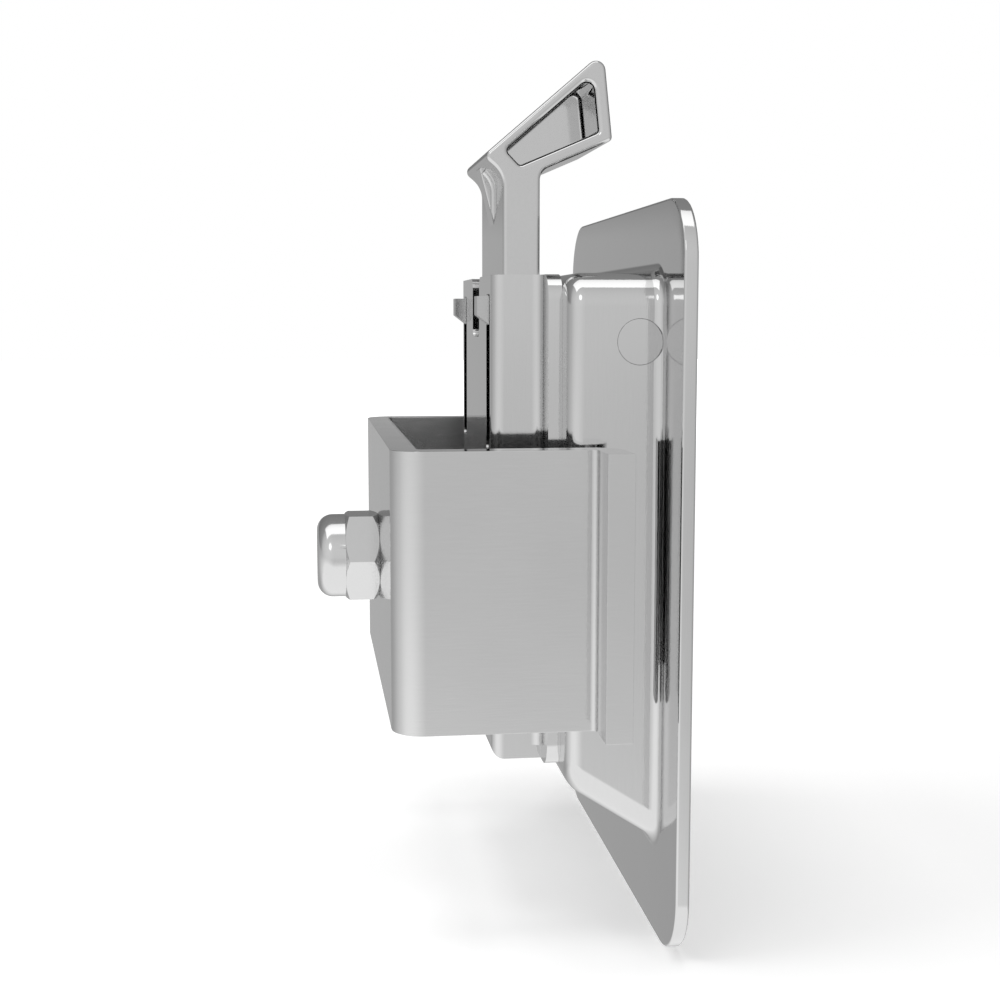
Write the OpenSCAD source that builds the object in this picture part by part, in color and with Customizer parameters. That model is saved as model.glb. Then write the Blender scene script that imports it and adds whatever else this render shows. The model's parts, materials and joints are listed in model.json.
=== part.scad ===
// Flush paddle latch with a spring bolt, clamped to a door panel by a bracket and a cap nut.
// Width is X, depth is Y with the inside of the door at +Y, height is Z.
// The origin is the centre of the faceplate's rear face, which lies on the panel.

/* [Faceplate] */
// Width of the faceplate
plate_w = 83.4; // [78:0.1:100]
// Height of the faceplate
plate_h = 105; // [98:0.5:130]
// Thickness of the faceplate
plate_t = 2; // [1.5:0.1:3]
// Radius of the faceplate's corners
plate_corner_r = 9; // [4:0.5:14]

/* [Dish] */
// Width of the dish over its side walls
dish_w = 62.2; // [60:0.1:66]
// Height of the dish's top wall above the plate's centre
dish_top = 42.3; // [41.5:0.1:45]
// Reach of the dish's mouth below the plate's centre
dish_foot = 38.8; // [36:0.1:43]
// Depth of the dish behind the plate
dish_depth = 13.4; // [13:0.1:15]
// Slope of the dish's lower wall, in degrees from level
dish_slope = 32.7; // [28:0.1:36]
// Thickness of the dish's walls
dish_wall = 2; // [1.5:0.1:2.3]
// Corner radius of the dish seen from behind
dish_corner_r = 4.7; // [3.5:0.1:6]
// Radius of the edge round the dish's rear wall
dish_edge_r = 2.3; // [1.5:0.1:3]
// Radius of the blend between dish and plate
dish_blend_r = 1.5; // [1:0.1:3]
// Radius of the dish's front lip
mouth_lip_r = 1.5; // [0.5:0.1:1.9]

/* [Paddle] */
// Distance of the pivot behind the plate's rear face
pivot_y = 3.4; // [3:0.1:4]
// Height of the pivot above the plate's centre
pivot_z = 33.1; // [32:0.1:34]
// Diameter of the pivot pin
pin_d = 6.4; // [5.6:0.1:6.6]
// Running clearance of pin and bushes, on the radius
pin_gap = 0.05; // [0.02:0.01:0.1]
// How far the paddle stands proud of the plate
paddle_proud = 0.5; // [0:0.1:1.5]
// Gap between the paddle and each side of the dish
paddle_side_gap = 1; // [0.8:0.1:1.6]
// Thickness of the paddle's front wall
paddle_t = 2.2; // [1.8:0.1:2.6]
// Thickness of the paddle's cheeks
cheek_t = 2.5; // [2:0.1:3.5]
// Depth of the cheeks behind the paddle's front
cheek_depth = 11.2; // [9:0.1:11.6]
// Height of the paddle's lower edge, below the plate's centre
paddle_foot = 22; // [16:0.5:25]
// Wall of the pivot bushes
bush_wall = 1; // [0.8:0.05:1.3]
// Thickness of the bushes' flanges
bush_flange_t = 0.8; // [0.4:0.05:0.8]
// Running gap between the stop buffers and the dish
buffer_gap = 0.3; // [0.1:0.05:0.5]

/* [Trip lever] */
// Width of the trip lever
lever_w = 9; // [7:0.5:10]
// Reach of the lever's nose behind the pivot
nose_y = 13; // [12.6:0.1:13.4]
// Height of the lever's nose above the pivot
nose_z = 5.3; // [4.9:0.1:5.6]
// Radius of the lever's nose
nose_r = 1.2; // [1:0.05:1.3]
// Free play between nose and bolt
nose_play = 0.4; // [0.35:0.05:0.6]
// Wire of the paddle's return spring
return_wire = 0.9; // [0.7:0.05:1]

/* [Bolt] */
// Width of the bolt
bolt_w = 26.8; // [22:0.1:28]
// Thickness of the bolt's stem
stem_t = 5.5; // [5:0.1:5.6]
// Height of the bolt's tip above the plate's centre
bolt_tip_z = 73.7; // [72:0.1:84]
// Reach of the bolt's tip in front of the stem
head_reach = 10.1; // [8:0.1:10.2]
// Slope of the bolt's upper face, in degrees
ramp_angle = 40.3; // [36:0.1:44]
// Wall round the pockets in the bolt's head
head_wall = 1.6; // [1.2:0.1:2]
// Thickness of the web between the two pockets
head_web = 2.8; // [2:0.1:4]
// Width of the rib behind the stem
rib_w = 4.4; // [3:0.1:6]
// Travel of the bolt
bolt_travel = 12.7; // [12:0.05:13.6]

/* [Bolt guide] */
// Width of the guide over its side walls
guide_w = 40.4; // [39.4:0.1:44]
// Depth of the guide behind the dish
guide_depth = 9.24; // [9.2:0.01:10]
// Thickness of the guide's sheet
guide_t = 2; // [1.6:0.1:2.1]
// Height of the guide's top above the plate's centre
guide_top = 42.5; // [41.9:0.1:43.2]
// Reach of the guide below the plate's centre
guide_foot = 28.4; // [27:0.1:29.5]
// Width over the guide's two flanges
flange_w = 52.2; // [50:0.1:57]
// Radius of the guide's outer bends
guide_bend_r = 1.8; // [1.2:0.1:2.4]
// Distance between the two slots
slot_pitch = 31; // [30.5:0.1:31.5]
// Width of the slots
slot_w = 4.2; // [3.6:0.1:4.4]
// Width of the notch for the bolt's rib
notch_w = 8.8; // [7.6:0.1:12]
// Depth of the notch for the bolt's rib
notch_depth = 9; // [7:0.1:12]

/* [Carriage and springs] */
// Clearance of the carriage in the guide, each side
carriage_gap = 0.3; // [0.2:0.05:0.5]
// Height of the carriage's cross block
block_h = 22; // [20:0.5:24]
// Height of the stop lugs at their root
lug_h = 4.1; // [3:0.1:5]
// Reach of the stop lugs behind the guide
lug_proud = 1.8; // [1:0.1:2.4]
// Side clearance of the stop lugs in their slots
lug_gap = 0.35; // [0.25:0.05:0.6]
// Distance between the two bolt springs
spring_pitch = 19; // [17:0.5:21]
// Outer diameter of the bolt springs
spring_d = 6.2; // [5.4:0.1:6.4]
// Wire of the bolt springs
spring_wire = 0.8; // [0.6:0.05:0.9]
// Turns of each bolt spring
spring_turns = 11; // [9:1:12]
// Diameter of the spring rods
rod_d = 3.6; // [2.8:0.1:3.6]

/* [Clamp] */
// Outer width of the clamp bracket
bracket_w = 74.46; // [72:0.1:78]
// Height of the clamp bracket
bracket_h = 38.7; // [30:0.1:50]
// Thickness of the clamp bracket
bracket_t = 3.7; // [3:0.1:4.5]
// Depth of the bracket from its feet to its rear face
bracket_depth = 31.45; // [29:0.05:36]
// Gap between faceplate and bracket feet
panel_gap = 6.73; // [4.5:0.01:12]
// Width over the bracket's feet
feet_w = 88.6; // [87:0.1:94]
// Inner radius of the bracket's bends
bend_r = 0.8; // [0.5:0.1:2]
// Height of the clamp's axis
clamp_z = -0.55; // [-4:0.05:4]
// Diameter of the stud
stud_d = 7.9; // [7:0.1:8.2]
// Width of the nut across its flats
nut_af = 13; // [12.6:0.1:15]
// Height of the nut's hexagon
hex_h = 5.3; // [4.8:0.1:7]
// Height of the nut's dome
dome_h = 4.2; // [4:0.1:6]
// Radius of the dome's edge
dome_edge_r = 2.4; // [1:0.1:3.6]

/* [Hidden] */
$fn = 64;
// Over-reach of a cut past a face
cut = 1;
// Segments in each rounded corner of a computed outline
arc_steps = 6;

// Dish, worked out
mouth_front = -plate_t;
inner_w = dish_w - 2 * dish_wall;
inner_top = dish_top - dish_wall;
inner_foot = dish_foot - dish_wall / cos(dish_slope);
inner_depth = dish_depth - dish_wall;

// Paddle, worked out
paddle_front = -plate_t - paddle_proud;
paddle_w = inner_w - 2 * paddle_side_gap;
paddle_inner = paddle_front + paddle_t;
barrel_r = pivot_y - paddle_front;
pin_r = pin_d / 2;
hub_r = pin_r + pin_gap + 1.15;
relief_r = hub_r + 0.3;
bush_r = pin_r + pin_gap + bush_wall;
cheek_x = paddle_w / 2 - cheek_t / 2;
lip_r = paddle_t;

// Lever, worked out; its outline is drawn round the pivot
waist_y = 9;
waist_z = 4.6;
waist_r = 1.1;
foot_t = 2;
foot_top = -7;
foot_end = -26;
rivet_r = 1.5;
rivet_z = [-13, -21];
rivet_head_r = 2.4;
rivet_head_h = 1;
window_gap = 1;
window_top = nose_z + nose_r + 0.3;
window_foot = -8.9;

// Return spring, worked out
return_turn_r = pin_r + 0.3 + return_wire / 2;
return_pitch = return_wire + 0.08;
return_x = lever_w / 2 + 0.3 + return_wire / 2;
return_turns = 5;
web_rise = 14;
rib_drop = 6.8;

// Guide, worked out
guide_inner_w = guide_w - 2 * guide_t;
guide_rear = dish_depth + guide_depth;
guide_inner_rear = guide_rear - guide_t;
flange_corner_r = 3.6;
slot_drop = 2.7;
slot_len = 22.6;
slot_top_z = guide_top - slot_drop;
slot_foot_z = slot_top_z - slot_len;
slot_corner_r = 0.5;
notch_corner_r = 1.2;

// Bolt, worked out
stem_rear = guide_inner_rear - 0.51;
stem_front = stem_rear - stem_t;
nose_lobe_z = pivot_z + nose_z;
pocket_floor = nose_lobe_z - nose_r - nose_play;
pocket_top = nose_lobe_z + 3.4;
pocket_depth_y = pivot_y + norm([nose_y, nose_z]) + nose_r + 0.2;

// Carriage, worked out
carriage_w = guide_inner_w - 2 * carriage_gap;
carriage_front = dish_depth + 0.5;
carriage_rear = guide_inner_rear - 0.34;
block_foot = 0;
block_top = block_foot + block_h;
stem_gap = 0.2;
lug_top = slot_top_z - 0.3;
lug_w = slot_w - 2 * lug_gap;
lug_tip = guide_rear + lug_proud;
lug_chamfer = 1.4;
cross_pin_r = 1.25;
cross_pin_z = [block_top + 4, block_top + 11];

// Springs, worked out
spring_y = (dish_depth + guide_inner_rear) / 2;
spring_floor = -guide_foot + guide_t;
rod_top = block_top - bolt_travel - 1.5;
rod_tail_r = 1.3;
rod_gap = 0.3;
fixed_gap = 0.02;

// Clamp, worked out
foot_front = panel_gap;
bracket_rear = foot_front + bracket_depth;
bracket_inner_rear = bracket_rear - bracket_t;
stud_r = stud_d / 2;
nut_bore_r = stud_r + 0.05;
nut_top = bracket_rear + hex_h + dome_h;
stud_end = bracket_rear + hex_h - 0.7;
stud_head_r = stud_r + 1.7;
stud_head_t = guide_t * 0.6;
stud_hole_gap = 0.35;
ring_foot = hex_h + 0.2;
ring_h = 1.8;
ring_r = nut_bore_r + 1.3;

// Draws a profile of (y, z) and extrudes it along X, centred
module along_x(length) {
    rotate([90, 0, 90]) linear_extrude(height = length, center = true) children();
}

// Draws a profile of (x, z) and extrudes it along Y from one depth to another
module along_y(from, to) {
    translate([0, to, 0]) rotate([90, 0, 0]) linear_extrude(height = to - from) children();
}

// Lays a turned part's own axis along +Y
module turned_y() {
    rotate([-90, 0, 0]) children();
}

// Rectangle with round corners, centred
module round_rect(w, h, r) {
    square([w - 2 * r, h], center = true);
    square([w, h - 2 * r], center = true);
    for (x = [-1, 1], y = [-1, 1]) translate([x * (w / 2 - r), y * (h / 2 - r)]) circle(r);
}

// Outline points and outward normals of a polygon with rounded corners.
// Each corner is [y, z, radius]; the corners run anticlockwise.
function unit(v) = v / norm(v);
function corner_arc(before, at, after, r) =
    let (u = unit([before[0] - at[0], before[1] - at[1]]))
    let (v = unit([after[0] - at[0], after[1] - at[1]]))
    let (half = acos(max(-1, min(1, u * v))) / 2)
    let (turn = (-u[0]) * v[1] - (-u[1]) * v[0] > 0 ? 1 : -1)
    let (centre = [at[0], at[1]] + unit(u + v) * r / sin(half))
    let (n0 = turn * [-u[1], u[0]])
    let (sweep = turn * (180 - 2 * half))
    [for (i = [0:arc_steps]) let (a = sweep * i / arc_steps)
        let (n = [n0[0] * cos(a) - n0[1] * sin(a), n0[0] * sin(a) + n0[1] * cos(a)])
        [centre + n * r, turn * n]];
function rounded_outline(corners) =
    let (n = len(corners))
    [for (i = [0:n - 1])
        each corner_arc(corners[(i + n - 1) % n], corners[i], corners[(i + 1) % n], corners[i][2])];
function outline_points(corners) = [for (p = rounded_outline(corners)) p[0]];

// Closed skin over equal rings of points, the first and last ring capped
module skin(rings) {
    n = len(rings[0]);
    last = len(rings) - 1;
    sides = [for (k = [0:last - 1], i = [0:n - 1])
        each [[k * n + i, k * n + (i + 1) % n, (k + 1) * n + i],
              [k * n + (i + 1) % n, (k + 1) * n + (i + 1) % n, (k + 1) * n + i]]];
    first_cap = [for (i = [n - 1:-1:0]) i];
    last_cap = [for (i = [0:n - 1]) last * n + i];
    polyhedron(points = [for (r = rings) each r], faces = concat(sides, [first_cap, last_cap]));
}

// Tube of wire along a path; the sides follow a fixed side direction
module wire(path, d, side, sides = 6) {
    n = len(path);
    rings = [for (k = [0:n - 1])
        let (t = unit(path[min(k + 1, n - 1)] - path[max(k - 1, 0)]))
        let (u = unit(cross(t, side)))
        let (v = cross(t, u))
        [for (i = [0:sides - 1]) path[k] + d / 2 * (cos(360 * i / sides) * u + sin(360 * i / sides) * v)]];
    skin([for (k = [n - 1:-1:0]) rings[k]]);
}

// One section of the dish at depth y: side, top and foot moved out by grow
function dish_ring(y, w, top, foot, r, grow) =
    let (c = max(r + grow, 0.2))
    let (x = w / 2 + grow - c)
    let (hi = top + grow - c)
    let (lo = -foot + y * tan(dish_slope) - grow + c)
    [for (q = [[x, hi, 0], [-x, hi, 90], [-x, lo, 180], [x, lo, 270]], i = [0:arc_steps])
        let (a = q[2] + 90 * i / arc_steps) [q[0] + c * cos(a), y, q[1] + c * sin(a)]];

module dish_outside() {
    steps = 4;
    blend = [for (i = [0:steps]) let (a = 90 * i / steps)
        [dish_blend_r * (1 - cos(a)), dish_blend_r * (1 - sin(a))]];
    rear = [for (i = [0:steps]) let (a = 90 * i / steps)
        [dish_depth - dish_edge_r * (1 - sin(a)), -dish_edge_r * (1 - cos(a))]];
    levels = concat([[-plate_t / 2, dish_blend_r]], blend, rear);
    skin([for (l = levels) dish_ring(l[0], dish_w, dish_top, dish_foot, dish_corner_r, l[1])]);
}

module dish_inside() {
    steps = 4;
    inner_edge_r = max(dish_edge_r - dish_wall, 0.3);
    lip = [for (i = [0:steps]) let (a = 90 * i / steps)
        [mouth_front + mouth_lip_r * (1 - cos(a)), mouth_lip_r * (1 - sin(a))]];
    rear = [for (i = [0:steps]) let (a = 90 * i / steps)
        [inner_depth - inner_edge_r * (1 - sin(a)), -inner_edge_r * (1 - cos(a))]];
    levels = concat([[mouth_front - cut, mouth_lip_r]], lip, rear);
    corner = dish_corner_r - dish_wall;
    skin([for (l = levels) dish_ring(l[0], inner_w, inner_top, inner_foot, corner, l[1])]);
}

module lever_window() {
    h = window_top - window_foot;
    translate([0, 0, pivot_z + window_foot + h / 2])
        along_y(inner_depth - cut, dish_depth + cut) round_rect(lever_w + 2 * window_gap, h, 1);
}

module dish_housing() {
    color("silver") difference() {
        union() {
            along_y(-plate_t, 0) round_rect(plate_w, plate_h, plate_corner_r);
            dish_outside();
        }
        dish_inside();
        lever_window();
        translate([0, pivot_y, pivot_z]) rotate([0, 90, 0])
            cylinder(h = dish_w + 4 * dish_blend_r, r = pin_r + fixed_gap, center = true);
    }
}

module pivot_pin() {
    color("gainsboro") translate([0, pivot_y, pivot_z]) rotate([0, 90, 0])
        cylinder(h = dish_w, r = pin_r, center = true);
}

// Side view of a cheek: eye round the pin, then a web that runs out at the lower edge
module cheek_side() {
    rear = paddle_front + cheek_depth;
    translate([pivot_y, pivot_z]) circle(barrel_r);
    polygon([
        [paddle_front, pivot_z],
        [paddle_front, -paddle_foot + lip_r],
        [paddle_inner, -paddle_foot + lip_r],
        [rear, -paddle_foot + web_rise],
        [rear, pivot_z - barrel_r],
        [pivot_y + barrel_r, pivot_z]
    ]);
}

// Side view of the front wall: curl over the pin, flat front, full round lower lip
module paddle_side() {
    translate([paddle_front, -paddle_foot + lip_r]) square([paddle_t, pivot_z + paddle_foot - lip_r]);
    translate([paddle_front + lip_r, -paddle_foot + lip_r]) circle(lip_r);
    intersection() {
        translate([pivot_y, pivot_z]) circle(barrel_r);
        translate([paddle_front, pivot_z]) square([barrel_r + 1, barrel_r]);
    }
}

module paddle() {
    color("lightgray") difference() {
        union() {
            intersection() {
                along_x(paddle_w) paddle_side();
                translate([0, 0, (pivot_z + barrel_r - paddle_foot) / 2])
                    along_y(paddle_front - cut, dish_depth)
                    round_rect(paddle_w, pivot_z + barrel_r + paddle_foot, 1.2);
            }
            for (s = [-1, 1]) translate([s * cheek_x, 0, 0]) along_x(cheek_t) cheek_side();
        }
        translate([0, pivot_y, pivot_z]) rotate([0, 90, 0])
            cylinder(h = paddle_w - 2 * cheek_t, r = relief_r, center = true);
        translate([0, pivot_y, pivot_z]) rotate([0, 90, 0])
            cylinder(h = paddle_w + 2 * cut, r = bush_r + fixed_gap, center = true);
        for (z = rivet_z) translate([0, paddle_front - cut, pivot_z + z]) turned_y()
            cylinder(h = paddle_t + 2 * cut, r = rivet_r + fixed_gap);
    }
}

// Flanged plastic bush, its flange outside the cheek
module bush(side) {
    x0 = paddle_w / 2 - cheek_t;
    color("dimgray") translate([0, pivot_y, pivot_z]) rotate([0, side * 90, 0]) translate([0, 0, x0])
        difference() {
            union() {
                cylinder(h = cheek_t, r = bush_r);
                translate([0, 0, cheek_t]) cylinder(h = bush_flange_t, r = bush_r + 1);
            }
            translate([0, 0, -cut]) cylinder(h = cheek_t + bush_flange_t + 2 * cut, r = pin_r + pin_gap);
        }
}

// Rubber caps on the cheeks' rear edges, which meet the dish when the paddle closes
module stop_buffers() {
    cheek_rear = paddle_front + cheek_depth;
    buffer_rear = inner_depth - buffer_gap;
    grip = 2;
    h = 7;
    w = cheek_t + 1.6;
    color("dimgray") for (s = [-1, 1]) translate([s * (cheek_x - 0.35), 0, 0])
        difference() {
            translate([-w / 2, cheek_rear - grip, -h / 2]) cube([w, buffer_rear - cheek_rear + grip, h]);
            translate([s * 0.35 - cheek_t / 2, cheek_rear - grip - cut, -h])
                cube([cheek_t, grip + cut, 2 * h]);
        }
}

// Side view of the trip lever round the pivot: eye, arm, nose and foot
module lever_side() {
    hull() {
        circle(hub_r);
        translate([waist_y, waist_z]) circle(waist_r);
    }
    hull() {
        translate([waist_y, waist_z]) circle(waist_r);
        translate([nose_y, nose_z]) circle(nose_r);
    }
    foot_y = paddle_inner - pivot_y;
    polygon([
        [foot_y, foot_end],
        [foot_y + foot_t, foot_end],
        [foot_y + foot_t, foot_top - 2],
        [hub_r * 0.94, -hub_r * 0.34],
        [0, 0],
        [-hub_r * 0.77, -hub_r * 0.64],
        [foot_y, foot_top]
    ]);
}

module trip_lever() {
    color("darkgray") translate([0, pivot_y, pivot_z]) difference() {
        along_x(lever_w) lever_side();
        rotate([0, 90, 0]) cylinder(h = lever_w + 2 * cut, r = pin_r + pin_gap, center = true);
        for (z = rivet_z) translate([0, -barrel_r, z]) turned_y()
            cylinder(h = barrel_r + foot_t, r = rivet_r + fixed_gap);
    }
}

module lever_rivets() {
    seat = paddle_inner + foot_t;
    color("gainsboro") for (z = rivet_z) translate([0, 0, pivot_z + z]) {
        translate([0, paddle_front, 0]) turned_y() cylinder(h = seat - paddle_front, r = rivet_r);
        translate([0, seat, 0]) turned_y() cylinder(h = rivet_head_h, r = rivet_head_r);
    }
}

// Torsion spring: one leg bears on the dish's rear wall, the other hooks under the lever's arm
module paddle_spring() {
    start = 100;
    finish = 360 * return_turns + 304;
    count = floor((finish - start) / 26);
    wall_y = inner_depth - pivot_y - return_wire / 2 - 0.05;
    leg_from = [cos(start), sin(start)] * return_turn_r;
    leg_run = wall_y - leg_from[0];
    coil = [for (i = [0:count]) let (a = start + (finish - start) * i / count)
        [return_x + return_pitch * (return_turns + 0.6) * (1 - i / count),
         return_turn_r * cos(a), return_turn_r * sin(a)]];
    along = [0, -sin(finish), cos(finish)];
    hook_r = 0.9;
    corner = coil[count] + along * (5.4 - hook_r);
    hook = [for (i = [0:4]) let (a = 22.5 * i)
        corner + along * hook_r * sin(a) - [hook_r * (1 - cos(a)), 0, 0]];
    path = concat(
        [[coil[0][0], wall_y, leg_from[1] - leg_run * cos(start) / sin(start)]],
        coil,
        hook,
        [hook[4] - [3, 0, 0]]
    );
    color("gainsboro") translate([0, pivot_y, pivot_z]) wire(path, return_wire, [1, -0.5, 0.5]);
}

// Plan view of the guide's sheet, one outline inside the other
module guide_plan(w, rear, r) {
    translate([-w / 2, dish_depth - cut]) square([w, rear - dish_depth + cut - r]);
    translate([-w / 2 + r, dish_depth - cut]) square([w - 2 * r, rear - dish_depth + cut]);
    for (s = [-1, 1]) translate([s * (w / 2 - r), rear - r]) circle(r);
}

// Side view that rounds the guide's lower rear edge and trims it to the dish
module guide_reach(foot, rear, r) {
    translate([dish_depth, -foot + r]) square([rear - dish_depth, guide_top + foot - r + cut]);
    translate([dish_depth, -foot]) square([rear - dish_depth - r, r + cut]);
    translate([rear - r, -foot + r]) circle(r);
}

module guide_box(w, rear, foot, top, r) {
    intersection() {
        translate([0, 0, -foot - cut]) linear_extrude(height = top + foot + cut) guide_plan(w, rear, r);
        along_x(w + 2 * cut) guide_reach(foot, rear, r);
    }
}

module guide_flanges() {
    h = guide_top + guide_foot;
    fillet = 1.2;
    translate([0, 0, guide_top - h / 2]) along_y(dish_depth, dish_depth + guide_t)
        round_rect(flange_w, h, flange_corner_r);
    translate([0, 0, -guide_foot + 1]) linear_extrude(height = h - 1) difference() {
        translate([-guide_w / 2 - fillet, dish_depth + guide_t - 0.5])
            square([guide_w + 2 * fillet, fillet + 0.5]);
        for (s = [-1, 1]) translate([s * (guide_w / 2 + fillet), dish_depth + guide_t + fillet])
            circle(fillet);
    }
}

// Notch for the bolt's rib: round lower corners and a flared mouth
module notch_outline() {
    r = notch_corner_r;
    translate([-notch_w / 2, r]) square([notch_w, notch_depth - r + cut]);
    translate([-notch_w / 2 + r, 0]) square([notch_w - 2 * r, notch_depth]);
    for (s = [-1, 1]) translate([s * (notch_w / 2 - r), r]) circle(r);
    difference() {
        translate([-notch_w / 2 - r, notch_depth - r]) square([notch_w + 2 * r, r + cut]);
        for (s = [-1, 1]) translate([s * (notch_w / 2 + r), notch_depth - r]) circle(r);
    }
}

module bolt_guide() {
    slot_h = slot_top_z - slot_foot_z;
    inner_bend_r = max(guide_bend_r - guide_t, 0.2);
    color("silver") difference() {
        union() {
            guide_box(guide_w, guide_rear, guide_foot, guide_top, guide_bend_r);
            guide_flanges();
        }
        translate([0, -cut / 2, 0])
            guide_box(guide_inner_w, guide_inner_rear + cut / 2, guide_foot - guide_t,
                guide_top + cut, inner_bend_r);
        for (s = [-1, 1]) translate([s * slot_pitch / 2, 0, slot_foot_z + slot_h / 2])
            along_y(guide_inner_rear - cut, guide_rear + cut) round_rect(slot_w, slot_h, slot_corner_r);
        translate([0, 0, guide_top - notch_depth])
            along_y(guide_inner_rear - cut, guide_rear + cut) notch_outline();
        translate([0, guide_inner_rear - cut, clamp_z]) turned_y()
            cylinder(h = guide_t + 2 * cut, r = stud_r + fixed_gap);
        translate([0, guide_inner_rear - cut, clamp_z]) turned_y()
            cylinder(h = stud_head_t + cut, r = stud_head_r + fixed_gap);
        for (s = [-1, 1]) translate([s * spring_pitch / 2, spring_y, -guide_foot - cut])
            cylinder(h = guide_t + 2 * cut, r = rod_tail_r + fixed_gap);
    }
}

// Line through two points moved sideways to its left, and the crossing of two lines
function moved(a, b, d) = let (n = unit([a[1] - b[1], b[0] - a[0]])) [a + n * d, b + n * d];
function meet(l, k) =
    let (u = l[1] - l[0])
    let (v = k[1] - k[0])
    let (w = k[0] - l[0])
    l[0] + u * (w[0] * v[1] - w[1] * v[0]) / (u[0] * v[1] - u[1] * v[0]);

// Sharp corners of the head: tip, front foot, throat, nape and nose
head_tip = [stem_front - head_reach + 0.91, bolt_tip_z + 0.85];
head_toe = [head_tip[0] - 1.37, head_tip[1] - 12.28];
head_throat = [stem_front, head_toe[1] - (stem_front - head_toe[0]) * 0.428];
head_nape = [stem_rear, head_tip[1] - (stem_rear + 2.98 - head_tip[0]) * tan(ramp_angle) - 2.48];
head_nose = [stem_rear + 2.98, head_nape[1] + 2.48];

// Side view of the bolt, anticlockwise from the stem's front foot
bolt_corners = [
    [stem_front, block_top, 0.7],
    [stem_rear, block_top, 0.7],
    [head_nape[0], head_nape[1], 4],
    [head_nose[0], head_nose[1], 0.97],
    [head_tip[0], head_tip[1], 0.9],
    [head_toe[0], head_toe[1], 0.7],
    [head_throat[0], head_throat[1], 2]
];

// Side view of the pockets in the head, an even wall inside the head's outline
ramp_line = moved(head_nose, head_tip, head_wall);
face_line = moved(head_tip, head_toe, head_wall + 0.4);
under_line = moved(head_toe, head_throat, head_wall + 0.3);
heel_line = [[stem_rear - 2.33, head_nape[1] + 1.44], [stem_rear - 0.83, head_nape[1] + 2.99]];
pocket_a = meet(heel_line, ramp_line);
pocket_b = meet(ramp_line, face_line);
pocket_c = meet(face_line, under_line);
pocket_d = meet(under_line, heel_line);
pocket_corners = [
    [pocket_a[0], pocket_a[1], 0.6],
    [pocket_b[0], pocket_b[1], 1.1],
    [pocket_c[0], pocket_c[1], 0.6],
    [pocket_d[0], pocket_d[1], 0.5]
];

module bolt() {
    color("silver") difference() {
        union() {
            along_x(bolt_w) polygon(outline_points(bolt_corners));
            along_x(rib_w) polygon([
                [stem_rear - 1, head_nape[1] - rib_drop],
                [stem_rear, head_nape[1] - rib_drop],
                head_nose - [0.75, 0.6],
                head_nose - [1.6, 0.2],
                [stem_rear - 1, head_nape[1] + 1]
            ]);
        }
        for (s = [-1, 1]) translate([s * (bolt_w / 4 + head_web / 2), 0, 0])
            along_x(bolt_w / 2) polygon(outline_points(pocket_corners));
        translate([-lever_w / 2 - 0.8, stem_front - cut, pocket_floor])
            cube([lever_w + 1.6, pocket_depth_y - stem_front + cut, pocket_top - pocket_floor]);
        for (z = cross_pin_z) translate([0, (stem_front + stem_rear) / 2, z]) rotate([0, 90, 0])
            cylinder(h = bolt_w + 2 * cut, r = cross_pin_r + fixed_gap, center = true);
    }
}

// Side view of a stop lug: flat on top, sloped below so that it snaps in on the way down
module lug_side() {
    polygon([
        [carriage_rear - 1, lug_top - lug_h], [guide_rear, lug_top - lug_h],
        [lug_tip, lug_top - lug_h + lug_chamfer], [lug_tip, lug_top], [carriage_rear - 1, lug_top]
    ]);
}

module bolt_carriage() {
    arm_in = bolt_w / 2 + stem_gap;
    arm_w = carriage_w / 2 - arm_in;
    depth = carriage_rear - carriage_front;
    color("darkgray") difference() {
        union() {
            translate([-carriage_w / 2, carriage_front, block_foot]) cube([carriage_w, depth, block_h]);
            for (s = [-1, 1]) {
                translate([s * (arm_in + arm_w / 2) - arm_w / 2, carriage_front, block_foot])
                    cube([arm_w, depth, lug_top - block_foot]);
                translate([s * slot_pitch / 2, 0, 0]) along_x(lug_w) lug_side();
            }
        }
        for (s = [-1, 1]) translate([s * spring_pitch / 2, spring_y, block_foot - cut])
            cylinder(h = block_h + 2 * cut, r = rod_d / 2 + rod_gap);
        for (z = cross_pin_z) translate([0, (stem_front + stem_rear) / 2, z]) rotate([0, 90, 0])
            cylinder(h = carriage_w + 2 * cut, r = cross_pin_r + fixed_gap, center = true);
    }
}

module carriage_pins() {
    color("gainsboro") for (z = cross_pin_z) translate([0, (stem_front + stem_rear) / 2, z])
        rotate([0, 90, 0]) cylinder(h = carriage_w, r = cross_pin_r, center = true);
}

// Compression spring: closed end turns, even pitch between them
module bolt_spring(side) {
    turn_r = (spring_d - spring_wire) / 2;
    seg = 14;
    count = spring_turns * seg;
    low = spring_floor + spring_wire / 2 + 0.05;
    high = block_foot - spring_wire / 2 - 0.05;
    end_rise = spring_wire + 0.05;
    inner_turns = spring_turns - 2;
    function rise(t) = t < 1 ? end_rise * t
        : t > spring_turns - 1 ? high - low - end_rise * (spring_turns - t)
        : end_rise + (high - low - 2 * end_rise) * (t - 1) / inner_turns;
    path = [for (i = [0:count]) let (a = 360 * i / seg)
        [turn_r * cos(a), turn_r * sin(a), low + rise(i / seg)]];
    color("gainsboro") translate([side * spring_pitch / 2, spring_y, 0]) wire(path, spring_wire, [0, 0, 1]);
}

// Rod inside a spring, its tail riveted in the guide's floor
module spring_rod(side) {
    color("gainsboro") translate([side * spring_pitch / 2, spring_y, 0]) {
        translate([0, 0, -guide_foot]) cylinder(h = guide_t + 0.5, r = rod_tail_r);
        translate([0, 0, spring_floor]) cylinder(h = rod_top - spring_floor - 0.5, r = rod_d / 2);
        translate([0, 0, rod_top - 0.5]) cylinder(h = 0.5, r1 = rod_d / 2, r2 = rod_d / 2 - 0.4);
    }
}

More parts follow.
